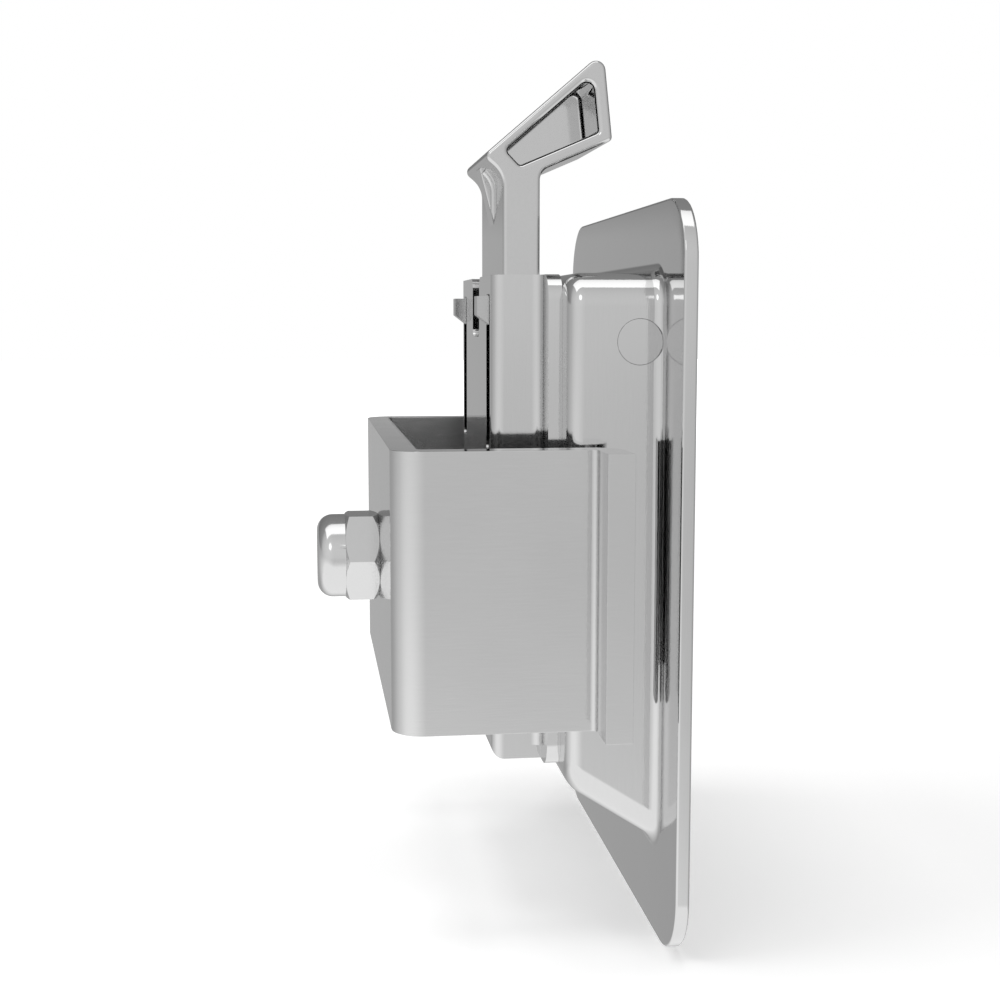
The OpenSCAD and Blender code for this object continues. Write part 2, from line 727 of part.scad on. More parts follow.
module clamp_stud() {
    color("gainsboro") translate([0, 0, clamp_z]) {
        translate([0, guide_inner_rear, 0]) turned_y() cylinder(h = stud_head_t, r = stud_head_r);
        translate([0, guide_inner_rear, 0]) turned_y()
            cylinder(h = stud_end - guide_inner_rear - 0.8, r = stud_r);
        translate([0, stud_end - 0.8, 0]) turned_y() cylinder(h = 0.8, r1 = stud_r, r2 = stud_r - 0.8);
    }
}

// Plan of one bend strip: a quarter ring between two bent walls
module bend(r_in, r_out) {
    intersection() {
        difference() {
            circle(r_out);
            circle(r_in);
        }
        square(r_out);
    }
}

// Half plan of the bracket: foot, bend, leg, bend, rear wall
module bracket_half() {
    out_r = bend_r + bracket_t;
    leg = bracket_w / 2;
    foot_x = leg + bend_r;
    foot_y = foot_front + bracket_t + bend_r;
    translate([foot_x, foot_front]) square([feet_w / 2 - foot_x, bracket_t]);
    translate([foot_x, foot_y]) mirror([1, 0]) mirror([0, 1]) bend(bend_r, out_r);
    translate([leg - bracket_t, foot_y]) square([bracket_t, bracket_rear - out_r - foot_y]);
    translate([leg - out_r, bracket_rear - out_r]) bend(bend_r, out_r);
    translate([0, bracket_inner_rear]) square([leg - out_r, bracket_t]);
}

module clamp_bracket() {
    color("silver") difference() {
        translate([0, 0, clamp_z - bracket_h / 2]) linear_extrude(height = bracket_h) {
            bracket_half();
            mirror([1, 0]) bracket_half();
        }
        translate([0, bracket_inner_rear - cut, clamp_z]) turned_y()
            cylinder(h = bracket_t + 2 * cut, r = stud_r + stud_hole_gap);
    }
}

// Half section of the nut's outside: two chamfers on the hexagon, then collar and dome
module hexagon_limit() {
    corner_r = nut_af / 2 / cos(30);
    chamfer = (corner_r - nut_af / 2) * tan(30) + 0.15;
    polygon([
        [0, 0], [nut_af / 2 - 0.2, 0], [corner_r + 0.2, chamfer + 0.2],
        [corner_r + 0.2, hex_h - chamfer - 0.2], [nut_af / 2 - 0.2, hex_h], [0, hex_h]
    ]);
}

module dome_section() {
    r = nut_af / 2 - 0.05;
    edge_y = hex_h + dome_h - dome_edge_r;
    translate([0, hex_h - 0.1]) square([r, edge_y - hex_h + 0.1]);
    translate([0, hex_h]) square([r - dome_edge_r, dome_h]);
    intersection() {
        translate([r - dome_edge_r, edge_y]) circle(dome_edge_r);
        translate([0, hex_h]) square([r, dome_h]);
    }
}

module nut_bore_section() {
    square([nut_bore_r, hex_h + dome_h - 1.2]);
    translate([0, ring_foot]) square([ring_r + fixed_gap, ring_h + 0.04]);
}

module cap_nut() {
    color("gainsboro") translate([0, bracket_rear, clamp_z]) turned_y() difference() {
        union() {
            intersection() {
                cylinder(h = hex_h, r = nut_af / 2 / cos(30), $fn = 6);
                rotate_extrude() hexagon_limit();
            }
            rotate_extrude() dome_section();
        }
        translate([0, 0, -cut]) cylinder(h = cut * 2, r = nut_bore_r);
        rotate_extrude() nut_bore_section();
    }
}

module nut_ring() {
    color("steelblue") translate([0, bracket_rear + ring_foot + 0.02, clamp_z]) turned_y() difference() {
        cylinder(h = ring_h, r = ring_r);
        translate([0, 0, -cut]) cylinder(h = ring_h + 2 * cut, r = nut_bore_r);
    }
}

dish_housing();
paddle();
trip_lever();
lever_rivets();
pivot_pin();
bush(-1);  // left_bush
bush(1);  // right_bush
paddle_spring();
stop_buffers();
bolt_guide();
bolt();
bolt_carriage();
carriage_pins();
bolt_spring(-1);  // left_spring
bolt_spring(1);  // right_spring
spring_rod(-1);  // left_spring_rod
spring_rod(1);  // right_spring_rod
clamp_stud();
clamp_bracket();
cap_nut();
nut_ring();
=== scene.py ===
# %% [markdown]
# # A flush paddle latch
# The latch is polished stainless steel, so almost all that we see of it is reflection.
# A reflection shows every facet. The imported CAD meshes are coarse, so the pieces that show
# are built again here as fine meshes, and each one stands for its CAD solid.
# Lengths are written in millimetres and turned into metres when a mesh is made.
# X runs across the latch, Y into the door and Z up.

import json
import math

import bmesh
import bpy
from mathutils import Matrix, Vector


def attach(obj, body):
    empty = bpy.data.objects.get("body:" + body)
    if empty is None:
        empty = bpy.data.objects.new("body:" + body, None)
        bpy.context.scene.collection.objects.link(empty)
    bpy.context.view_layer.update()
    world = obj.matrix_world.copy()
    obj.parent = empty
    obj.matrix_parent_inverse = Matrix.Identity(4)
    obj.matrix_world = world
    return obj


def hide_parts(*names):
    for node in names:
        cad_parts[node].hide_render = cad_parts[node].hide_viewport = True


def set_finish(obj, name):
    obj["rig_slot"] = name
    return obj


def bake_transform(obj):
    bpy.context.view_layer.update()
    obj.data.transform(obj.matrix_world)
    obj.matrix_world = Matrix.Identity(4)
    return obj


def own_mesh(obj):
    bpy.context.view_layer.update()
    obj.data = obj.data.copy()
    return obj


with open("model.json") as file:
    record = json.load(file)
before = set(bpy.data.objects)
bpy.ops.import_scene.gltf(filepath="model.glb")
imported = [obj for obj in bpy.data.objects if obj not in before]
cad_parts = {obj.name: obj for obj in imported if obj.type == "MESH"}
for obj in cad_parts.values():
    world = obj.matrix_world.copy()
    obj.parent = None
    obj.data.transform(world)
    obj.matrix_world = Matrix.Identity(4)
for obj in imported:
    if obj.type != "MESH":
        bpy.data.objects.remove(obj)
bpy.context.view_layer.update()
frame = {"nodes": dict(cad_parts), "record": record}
MM = 0.001
print("nodes:", len(frame["nodes"]))

# %% [markdown]
# ## Outlines
# Sheet-metal parts are flat outlines with round corners, pushed through a thickness.
# A bevel could round the corners later, but only by one width for many edges.
# One function turns sharp corners with radii into a smooth outline instead, so that every
# bend radius of the real part can be written as a number beside its corner.


# %% Outline with round corners
def rounded(corners, steps=8):
    """Points of an outline whose corners are (a, b, radius)."""
    points = []
    for i, (a, b, radius) in enumerate(corners):
        at = Vector((a, b))
        before = (Vector(corners[i - 1][:2]) - at).normalized()
        after = (Vector(corners[(i + 1) % len(corners)][:2]) - at).normalized()
        if radius <= 0:
            points.append((a, b))
            continue
        half = before.angle(after) / 2
        centre = at + (before + after).normalized() * (radius / math.sin(half))
        first = at + before * (radius / math.tan(half)) - centre
        last = at + after * (radius / math.tan(half)) - centre
        sweep = first.angle_signed(last)
        for k in range(steps + 1):
            c, s = math.cos(-sweep * k / steps), math.sin(-sweep * k / steps)
            along, up = first.x * c - first.y * s, first.x * s + first.y * c
            points.append((centre.x + along, centre.y + up))
    return points


print("a corner of radius 2 has", len(rounded([(0, 0, 2), (9, 0, 0), (9, 9, 0)])) - 2, "points")


# %% Arcs and rectangles
def arc(a, b, radius, start, end, steps=24):
    """Points on a circle round (a, b), from one angle to another, in degrees."""
    turns = [math.radians(start + (end - start) * k / steps) for k in range(steps + 1)]
    return [(a + radius * math.cos(t), b + radius * math.sin(t)) for t in turns]


def rectangle(width, height, radius, a=0, b=0):
    """Corners of a centred rectangle, anticlockwise."""
    w, h = width / 2, height / 2
    return [(a + x * w, b + y * h, radius) for x, y in ((-1, -1), (1, -1), (1, 1), (-1, 1))]


print("a rectangle with round corners has", len(rounded(rectangle(4, 2, 0.5))), "points")

# %% [markdown]
# ## Solids
# Three ways to make a closed solid cover the whole latch: push an outline straight,
# join rings of points one after another, or turn a section round an axis.
# A fourth, a tube along a path, makes the wire springs. Blender's own cubes and cylinders
# would need many cuts to reach the same shapes.


# %% Solids from rings of points
def new_piece(name, points, faces):
    """A mesh object from points in millimetres."""
    mesh = bpy.data.meshes.new(name)
    mesh.from_pydata([Vector(p) * MM for p in points], [], faces)
    shell = bmesh.new()
    shell.from_mesh(mesh)
    bmesh.ops.remove_doubles(shell, verts=shell.verts, dist=1e-7)
    bmesh.ops.recalc_face_normals(shell, faces=shell.faces)
    shell.to_mesh(mesh)
    shell.free()
    piece = bpy.data.objects.new(name, mesh)
    bpy.context.collection.objects.link(piece)
    return piece


def joined_rings(name, rings):
    """A solid through equal rings of points, capped at both ends."""
    n = len(rings[0])
    points = [p for ring in rings for p in ring]
    faces = [tuple(range(n)), tuple(range(len(points) - n, len(points)))]
    for k in range(len(rings) - 1):
        for i in range(n):
            j = (i + 1) % n
            faces.append((k * n + i, k * n + j, k * n + n + j, k * n + n + i))
    return new_piece(name, points, faces)


print("solids come from rings of points")


# %% Pushed and turned solids
def placed(axis, a, b, along):
    """A point from its two outline coordinates and its place along an axis."""
    return {"x": (along, a, b), "y": (a, along, b), "z": (a, b, along)}[axis]


def pushed(name, outline, axis, low, high):
    """A solid whose outline is pushed along an axis from low to high."""
    return joined_rings(name, [[placed(axis, a, b, t) for a, b in outline] for t in (low, high)])


def turned(name, section, axis, centre, steps=96):
    """A solid turned round an axis through centre. The section is (radius, place on the axis)."""
    turns = [2 * math.pi * k / steps for k in range(steps)]
    rings = []
    for radius, along in section:
        ring = [placed(axis, radius * math.cos(t), radius * math.sin(t), along) for t in turns]
        rings.append([tuple(Vector(point) + Vector(centre)) for point in ring])
    return joined_rings(name, rings)


print("outline point (1, 2) at 3 along x, y, z:", [placed(axis, 1, 2, 3) for axis in "xyz"])


# %% Wires
def wire_along(name, path, diameter, sides=12):
    """A round wire that follows a path."""
    side = Vector((0.31, 0.52, 0.79)).normalized()
    turns = [2 * math.pi * i / sides for i in range(sides)]
    rings = []
    for k, point in enumerate(path):
        ahead = Vector(path[min(k + 1, len(path) - 1)]) - Vector(path[max(k - 1, 0)])
        u = ahead.cross(side).normalized()
        side = u.cross(ahead).normalized()
        spokes = [u * math.cos(t) + side * math.sin(t) for t in turns]
        rings.append([tuple(Vector(point) + spoke * diameter / 2) for spoke in spokes])
    return joined_rings(name, rings)


print("a wire can follow any path")

# %% [markdown]
# ## Cutting, joining and softening
# Slots and bores are cut with exact booleans, the way a press or a drill takes them out.
# No real edge is sharp: a bevel of a few tenths of a millimetre catches the light, and
# weighted normals keep the flat faces beside it flat in the reflections. A bevel shader
# would look alike in one picture, but it leaves the mesh itself sharp.


# %% Cut and join
def settle(piece):
    """Keeps what the modifiers made as the piece's own mesh."""
    bpy.context.view_layer.update()
    evaluated = piece.evaluated_get(bpy.context.evaluated_depsgraph_get())
    made = bpy.data.meshes.new_from_object(evaluated)
    piece.modifiers.clear()
    piece.data = made


def combine(piece, tools, operation):
    """Cuts the tools out of a piece, joins them to it, or keeps what they share."""
    for tool in tools:
        step = piece.modifiers.new("combine", "BOOLEAN")
        step.operation, step.solver, step.object = operation, "EXACT", tool
        settle(piece)
        bpy.data.objects.remove(tool)


print("booleans: DIFFERENCE, UNION or INTERSECT")


# %% Round the edges and shade smooth
def round_edges(piece, radius, segments, chosen):
    """Rounds the edges that a test on their two ends, in millimetres, chooses."""
    shell = bmesh.new()
    shell.from_mesh(piece.data)
    edges = [e for e in shell.edges if chosen(*(v.co / MM for v in e.verts))]
    bmesh.ops.bevel(
        shell, geom=edges, offset=radius * MM, segments=segments, profile=0.5, affect="EDGES"
    )
    shell.to_mesh(piece.data)
    shell.free()
    return piece


def soften(piece, width, angle=32, segments=3):
    """Bevels the sharp edges by a width in millimetres and shades the rest smooth."""
    if width:
        edge = piece.modifiers.new("edges", "BEVEL")
        edge.width, edge.segments = width * MM, segments
        edge.limit_method, edge.angle_limit = "ANGLE", math.radians(angle)
        edge.use_clamp_overlap, edge.miter_outer = True, "MITER_ARC"
        settle(piece)
    for face in piece.data.polygons:
        face.use_smooth = True
    piece.data.set_sharp_from_angle(angle=math.radians(40))
    even = piece.modifiers.new("even normals", "WEIGHTED_NORMAL")
    even.keep_sharp, even.weight = True, 60
    return piece


print("edges can be rounded by choice or by angle")


# %% Tell the frame what a piece stands for
def stands_for(piece, nodes, body, slot):
    """The piece replaces CAD nodes, rides on a body and takes the finish of a slot."""
    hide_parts(*nodes)
    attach(piece, body)
    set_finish(piece, slot)
    print(piece.name, "faces:", len(piece.data.polygons), "for", nodes)
    return piece


# %% [markdown]
# ## Faceplate and dish
# One sheet is drawn into a dish: a flat rim, a soft blend, straight walls, a sloped foot
# and a round edge at the back. It could be a block that booleans hollow out, but the blend
# would be hard to round. So rings of points follow the sheet all the way round, from the
# middle of the dish's back, over its outside, round the rim and down its inside.
# That gives one closed skin, with the same number of points in each ring.

# %% Sizes of the pressing
PLATE_W, PLATE_H, PLATE_T, PLATE_R = 83.4, 105, 2, 9
DISH_W, DISH_TOP, DISH_FOOT, DISH_D, WALL = 62.2, 42.3, 38.8, 13.4, 2
CROWN = 0.3  # the outside stands this much higher at the top than the CAD's
DISH_CORNER, DISH_BACK_R, BLEND_R, INSIDE_R = 4.7, 2.3, 1.5, 0.3
RIM_BACK_R, RIM_FRONT_R = 0.35, 0.4
FOOT_TILT = math.radians(32.7)
PIVOT_Y, PIVOT_Z, PIN_R, PIN_LENGTH, FIT = 3.4, 33.1, 3.2, 62.2, 0.02
CORNER_STEPS = 10
print("dish:", DISH_W, "x", round(DISH_TOP + DISH_FOOT, 1), "x", DISH_D, "mm")


# %% Sections of the dish and the plate
def corner_ring(corners, radius, y):
    """Round corners, one after another, at depth y. Each has a centre and a first angle."""
    ring = []
    for x, z, start in corners:
        ring += [(a, y, b) for a, b in arc(x, z, radius, start, start + 90, CORNER_STEPS)]
    return ring


def dish_ring(y, width, top, foot, radius, grow):
    """One section of the dish at depth y, moved out by grow."""
    r = max(radius + grow, 0.2)
    x, high = width / 2 + grow - r, top + grow - r
    low = -foot + y * math.tan(FOOT_TILT) - grow + r
    return corner_ring(((x, high, 0), (-x, high, 90), (-x, low, 180), (x, low, 270)), r, y)


def plate_ring(y, inset):
    """The faceplate's outline at depth y, moved in by inset."""
    r = PLATE_R - inset
    x, z = PLATE_W / 2 - inset - r, PLATE_H / 2 - inset - r
    return corner_ring(((x, z, 0), (-x, z, 90), (-x, -z, 180), (x, -z, 270)), r, y)


print("points in a ring:", len(plate_ring(0, 0)))


# %% Round edges of the sheet, as pairs of a depth and an offset
def quarter(count=7):
    """Angles from 0 to a quarter turn."""
    return [math.pi / 2 * k / count for k in range(count + 1)]


def rising(depth, offset, radius, count=7):
    """A quarter round whose offset grows slowly at first."""
    return [
        (depth + radius * (1 - math.sin(t)), offset + radius * (1 - math.cos(t)))
        for t in quarter(count)
    ]


dish_edge = [
    (DISH_D - DISH_BACK_R * (1 - math.cos(t)), -DISH_BACK_R * (1 - math.sin(t))) for t in quarter()
]
blend = rising(0, 0, BLEND_R)
rim_back = [(-RIM_BACK_R * (1 - math.cos(t)), RIM_BACK_R * (1 - math.sin(t))) for t in quarter(3)]
rim_front = rising(-PLATE_T, 0, RIM_FRONT_R, 3)
lip = [(-PLATE_T + BLEND_R * (1 - math.cos(t)), BLEND_R * (1 - math.sin(t))) for t in quarter()]
floor_edge = [
    (DISH_D - WALL - INSIDE_R * (1 - math.sin(t)), -INSIDE_R * (1 - math.cos(t)))
    for t in quarter(4)
]
print("rounds across the sheet:", len([dish_edge, blend, rim_back, rim_front, lip, floor_edge]))

# %% Rings from the dish's back to its inside
outer = (DISH_W, DISH_TOP + CROWN, DISH_FOOT, DISH_CORNER)
inner_foot = DISH_FOOT - WALL / math.cos(FOOT_TILT)
inner = (DISH_W - 2 * WALL, DISH_TOP - WALL, inner_foot, DISH_CORNER - WALL)
rings = [dish_ring(y, *outer, grow) for y, grow in dish_edge + blend]
rings += [plate_ring(0, PLATE_R / 3)]
rings += [plate_ring(y, inset) for y, inset in rim_back + rim_front]
rings += [plate_ring(-PLATE_T, PLATE_R / 3)]
rings += [dish_ring(y, *inner, grow) for y, grow in lip + floor_edge]
print("rings round the sheet:", len(rings))

# %% The pressing, with its pin holes and the lever's window
PIVOT = (0, PIVOT_Y, PIVOT_Z)
WINDOW_W, WINDOW_H, WINDOW_DROP = 11, 15.7, 1.05
dish_housing = joined_rings("dish_and_faceplate", rings)
window_outline = rounded(rectangle(WINDOW_W, WINDOW_H, 1, 0, PIVOT_Z - WINDOW_DROP))
window = pushed("window", window_outline, "y", 10, 15)
pin_hole = turned("pin_hole", [(PIN_R + FIT, -40), (PIN_R + FIT, 40)], "x", PIVOT)
combine(dish_housing, [window, pin_hole], "DIFFERENCE")
stands_for(soften(dish_housing, 0), ["dish_housing"], "housing", "polished_steel")

# %% [markdown]
# ## Pivot pin
# A plain pin across the dish, ground flush with its sides and polished with them. The fine
# seam round its end is all that shows of it from outside. A cylinder with a bevel would do,
# but a turned section holds the small chamfer at each end in four points.

# %% Pivot pin
CHAMFER, HALF_PIN = 0.06, PIN_LENGTH / 2
pin_section = [(PIN_R - CHAMFER, -HALF_PIN), (PIN_R, CHAMFER - HALF_PIN)]
pin_section += [(PIN_R, HALF_PIN - CHAMFER), (PIN_R - CHAMFER, HALF_PIN)]
pivot_pin = turned("pivot_pin_fine", pin_section, "x", PIVOT)
stands_for(soften(pivot_pin, 0), ["pivot_pin"], "housing", "polished_steel")

# %% [markdown]
# ## Bolt guide
# The guide is a hat-shaped channel with a closed foot, spot-welded on the dish.
# A thickened sheet would tear where the bends meet the closed foot. So a solid block with
# round edges is hollowed by a smaller one, and the flanges are joined on with a small fillet
# in the bend. Then come the two slots and the notch with its flared mouth.

# %% Sizes of the guide
GUIDE_W, GUIDE_REAR, GUIDE_TOP, GUIDE_FOOT, SHEET = 40.4, 22.64, 42.5, 28.4, 2
GUIDE_BEND, GUIDE_INSIDE, FLANGE_W, FLANGE_CORNER, FILLET_R = 1.8, 0.4, 52.2, 3.6, 1.5
SLOT_W, SLOT_LENGTH, SLOT_X, SLOT_Z, SLOT_R = 4.2, 22.6, 15.5, 28.5, 0.5
NOTCH_HALF, NOTCH_FOOT, NOTCH_R, FLARE_R = 4.4, 33.5, 1.2, 1.4
SPRING_X, SPRING_Y = 9.5, 17.02
CLAMP_Z = -0.55
print("guide:", GUIDE_W, "x", round(GUIDE_TOP + GUIDE_FOOT, 1), "mm")


# %% A block with round rear edges
def tray(name, width, rear, foot, top, radius):
    """A block behind the dish whose rear edges are round."""
    w, front = width / 2, DISH_D - 1

    def at_the_rear(a, b):
        along_rear = abs(a.y - rear) < 0.01 and abs(b.y - rear) < 0.01
        along_foot = abs(a.z + foot) < 0.01 and abs(b.z + foot) < 0.01
        upright = abs(a.x - b.x) < 0.01 and abs(a.y - b.y) < 0.01
        return along_rear and (upright or along_foot)

    piece = pushed(name, [(-w, front), (w, front), (w, rear), (-w, rear)], "z", -foot, top)
    return round_edges(piece, radius, 8, at_the_rear)


guide = tray("bolt_guide_fine", GUIDE_W, GUIDE_REAR, GUIDE_FOOT, GUIDE_TOP, GUIDE_BEND)
print("faces of the guide's block:", len(guide.data.polygons))

# %% Guide channel and flanges
face, height, middle = DISH_D + SHEET, GUIDE_TOP + GUIDE_FOOT, (GUIDE_TOP - GUIDE_FOOT) / 2
flange_outline = rounded(rectangle(FLANGE_W, height, FLANGE_CORNER, 0, middle))
flange = pushed("flange", flange_outline, "y", DISH_D, face)
fillets = []
for side in (-1, 1):
    edge = side * GUIDE_W / 2
    quarter_round = arc(0, 0, FILLET_R, 0, 90, 8)
    bow = [(edge + side * (FILLET_R - a), face + FILLET_R - b) for a, b in quarter_round]
    corner = [(edge - side, face - 1), (edge + side * FILLET_R, face - 1)]
    back = [(edge - side, face + FILLET_R)]
    fillets.append(pushed("fillet", corner + bow[::-1] + back, "z", 2 - GUIDE_FOOT, GUIDE_TOP))
combine(guide, [flange] + fillets, "UNION")
trim = pushed("trim", [(-60, 5), (60, 5), (60, DISH_D), (-60, DISH_D)], "z", -60, 60)
hollow = (GUIDE_W - 2 * SHEET, GUIDE_REAR - SHEET, GUIDE_FOOT - SHEET, GUIDE_TOP + 5)
combine(guide, [trim, tray("void", *hollow, GUIDE_INSIDE)], "DIFFERENCE")
print("faces of the hollow guide:", len(guide.data.polygons))

# %% Slots and notch in the rear wall
THROUGH = (19, 24)
slots = []
for side in (-1, 1):
    slot_outline = rounded(rectangle(SLOT_W, SLOT_LENGTH, SLOT_R, side * SLOT_X, SLOT_Z))
    slots.append(pushed("slot", slot_outline, "y", *THROUGH))
flare = arc(-NOTCH_HALF - FLARE_R, GUIDE_TOP - FLARE_R, FLARE_R, 90, 0, 8)
foot_corner = [(-NOTCH_HALF, 40, 0), (-NOTCH_HALF, NOTCH_FOOT, NOTCH_R), (0, NOTCH_FOOT, 0)]
notch_left = [(-8, 45), (-8, GUIDE_TOP)] + flare + rounded(foot_corner)[1:-1]
notch_right = [(-a, b) for a, b in reversed(notch_left)]
notch = pushed("notch", notch_left + notch_right, "y", *THROUGH)
combine(guide, slots + [notch], "DIFFERENCE")
print("slots are", round(2 * SLOT_X, 1), "mm apart")

# %% Stud hole and rod holes
STUD_R, HEAD_R, HEAD_REAR, ROD_R = 3.95, 5.65, 21.84, 1.3
CLAMP_AXIS = (0, 0, CLAMP_Z)
stud_hole = turned("stud_hole", [(STUD_R + FIT, 19), (STUD_R + FIT, 24)], "y", CLAMP_AXIS)
head_seat = turned("head_seat", [(HEAD_R + FIT, 19), (HEAD_R + FIT, HEAD_REAR)], "y", CLAMP_AXIS)
rod_holes = [
    turned("rod_hole", [(ROD_R + FIT, -30), (ROD_R + FIT, -25)], "z", (x, SPRING_Y, 0))
    for x in (-SPRING_X, SPRING_X)
]
combine(guide, [head_seat, stud_hole] + rod_holes, "DIFFERENCE")
stands_for(soften(guide, 0.22), ["bolt_guide"], "housing", "polished_steel")

# %% [markdown]
# ## Bolt
# The bolt is a casting: a wedge head with a pocket in each side, blended into a flat stem
# with a rib behind it. A subdivided cage would give its soft edges, but not its flat sides.
# So its side view is drawn once with a radius at each corner. The long edges are rounded
# before the pockets are cut, so that the round runs evenly along the whole outline.
# Each pocket has its own round rim, and the rib stands on a wider, softer root.

# %% Sizes of the bolt
STEM_FRONT, STEM_REAR, STEM_FOOT, BOLT_W = 14.63, 20.13, 22, 26.8
NOSE_OUT, NOSE_RISE = 2.98, 2.48
RAMP, UNDER_SLOPE = math.radians(40.5), 0.428
tip, toe = Vector((5.25, 75.05)), Vector((3.9, 62.3))
throat = Vector((STEM_FRONT, toe.y - (STEM_FRONT - toe.x) * UNDER_SLOPE))
nose_run = STEM_REAR + NOSE_OUT - tip.x
nape = Vector((STEM_REAR, tip.y - nose_run * math.tan(RAMP) - NOSE_RISE))
nose = Vector((STEM_REAR + NOSE_OUT, nape.y + NOSE_RISE))
print("from nose to toe, before their corners are round:", round(nose.x - toe.x, 1), "mm")


# %% Lines that keep an even distance
def moved(a, b, distance):
    """A line through two points, moved sideways to its left."""
    n = Vector((a.y - b.y, b.x - a.x)).normalized() * distance
    return a + n, b + n


def crossing(line, other):
    """The point where two lines cross."""
    u, v, w = line[1] - line[0], other[1] - other[0], other[0] - line[0]
    return line[0] + u * ((w.x * v.y - w.y * v.x) / (u.x * v.y - u.y * v.x))


print("length of the ramp's line:", round((tip - nose).length, 1), "mm")

# %% Walls round the pocket
RAMP_WALL, FACE_WALL, UNDER_WALL = 1.6, 2, 1.9
POCKET_CORNER, POCKET_TIP = 0.6, 1.1
heel_low = Vector((STEM_REAR - 2.33, nape.y + 1.44))
heel_high = Vector((STEM_REAR - 0.83, nape.y + 2.99))


def pocket_outline(grow):
    """The outline of the pocket in the head, wider by grow all round."""
    ramp = moved(nose, tip, RAMP_WALL - grow)
    face = moved(tip, toe, FACE_WALL - grow)
    under = moved(toe, throat, UNDER_WALL - grow)
    heel = moved(heel_low, heel_high, -grow)
    small, large = max(0.1, POCKET_CORNER + grow), max(0.1, POCKET_TIP + grow)
    corners = [(heel, ramp, small), (ramp, face, large), (face, under, small), (under, heel, small)]
    return rounded([(*crossing(line, other), radius) for line, other, radius in corners])


print("corners of the pocket:", [(round(a, 1), round(b, 1)) for a, b in pocket_outline(0)[::9]])


# %% Pocket
def pocket(side, floor_x, mouth_x, mouth_r=0.8, floor_r=0.5):
    """A pocket with a round rim and a small fillet round its floor."""
    levels = [(mouth_x + 1, mouth_r)]
    for t in quarter(6):
        levels.append((mouth_x - mouth_r * (1 - math.cos(t)), mouth_r * (1 - math.sin(t))))
    for t in quarter(6):
        levels.append((floor_x + floor_r * (1 - math.sin(t)), -floor_r * (1 - math.cos(t))))
    rings = [[(side * x, a, b) for a, b in pocket_outline(grow)] for x, grow in levels]
    return joined_rings("pocket", rings)


WEB = 1.4
pockets = [pocket(side, WEB, BOLT_W / 2) for side in (-1, 1)]
print("each pocket is", BOLT_W / 2 - WEB, "mm deep")


# %% Slab with round long edges
def round_slab(name, outline_corners, half_width, edge):
    """An outline pushed across X whose long edges are round."""
    piece = pushed(name, rounded(outline_corners), "x", -half_width, half_width)
    return round_edges(piece, edge, 5, lambda a, b: abs(a.x - b.x) < 1e-4)


side_view = [
    (STEM_FRONT, STEM_FOOT, 0.7),
    (STEM_REAR, STEM_FOOT, 0.7),
    (*nape, 4),
    (*nose, 0.97),
    (*tip, 1.4),
    (*toe, 0.7),
    (*throat, 2),
]
bolt = round_slab("bolt_fine", side_view, BOLT_W / 2, 0.6)
print("faces of the bolt's slab:", len(bolt.data.polygons))

# %% Rib behind the stem
RIB_HALF, ROOT_HALF = 2.2, 2.75
rib_side = [
    (STEM_REAR - 1, nape.y - 6.8, 0),
    (STEM_REAR, nape.y - 6.8, 0),
    (nose.x - 0.75, nose.y - 0.6, 0.4),
    (nose.x - 1.6, nose.y - 0.2, 0),
    (STEM_REAR - 1, nape.y + 1, 0),
]
root_side = [
    (STEM_REAR - 1, nape.y - 7.2, 0),
    (STEM_REAR - 0.1, nape.y - 7.2, 0),
    (STEM_REAR + 0.5, nape.y - 4.85, 0),
    (STEM_REAR + 0.5, nape.y - 0.23, 3.5),
    (STEM_REAR + 1.9, nape.y + 0.93, 0),
    (STEM_REAR + 1.4, nape.y + 1.5, 0),
    (STEM_REAR - 1, nape.y + 1, 0),
]
rib_root = round_slab("rib_root", root_side, ROOT_HALF, 0.45)
rib = round_slab("rib", rib_side, RIB_HALF, 0.25)
combine(bolt, [rib_root, rib], "UNION")
print("faces with the rib:", len(bolt.data.polygons))

# %% Pockets, lever pocket and pin bores
LEVER_FOOT, LEVER_TOP, LEVER_REAR, LEVER_HALF = 36.8, 41.8, 18.84, 5.3
PIN_BORE_R, PIN_BORE_Y = 1.27, 17.38
lever_outline = [
    (10, LEVER_FOOT),
    (LEVER_REAR, LEVER_FOOT),
    (LEVER_REAR, LEVER_TOP),
    (10, LEVER_TOP),
]
lever_pocket = pushed("lever_pocket", lever_outline, "x", -LEVER_HALF, LEVER_HALF)
pin_bores = [
    turned("bore", [(PIN_BORE_R, -15), (PIN_BORE_R, 15)], "x", (0, PIN_BORE_Y, z)) for z in (26, 33)
]
combine(bolt, pockets + [lever_pocket] + pin_bores, "DIFFERENCE")
stands_for(soften(bolt, 0), ["bolt"], "bolt", "bolt_steel")

# %% [markdown]
# ## Clamp bracket
# A strip of 3.7 mm stainless is bent four times: two feet, two legs and a back.
# A flat strip could be bent by modifiers, but its plan never changes along its width. So the
# plan is one outline with small inside radii and larger outside ones, pushed to the
# strip's width, with a clearance hole for the stud.

# %% Clamp bracket
LEG, FEET, FOOT_Y, BACK_Y, STRIP = 37.23, 44.3, 6.73, 38.18, 3.7
OUTER_BEND, INNER_BEND, BRACKET_FOOT, BRACKET_TOP = 4.5, 0.8, -19.9, 18.8
right_plan = [
    (FEET, FOOT_Y, 0),
    (FEET, FOOT_Y + STRIP, 0),
    (LEG, FOOT_Y + STRIP, INNER_BEND),
    (LEG, BACK_Y, OUTER_BEND),
]
right_inside = [(LEG - STRIP, BACK_Y - STRIP, INNER_BEND), (LEG - STRIP, FOOT_Y, OUTER_BEND)]
left_plan = [(-a, b, radius) for a, b, radius in reversed(right_plan)]
left_inside = [(-a, b, radius) for a, b, radius in reversed(right_inside)]
plan = rounded(right_plan + left_plan + left_inside + right_inside, 12)
bracket = pushed("clamp_bracket_fine", plan, "z", BRACKET_FOOT, BRACKET_TOP)
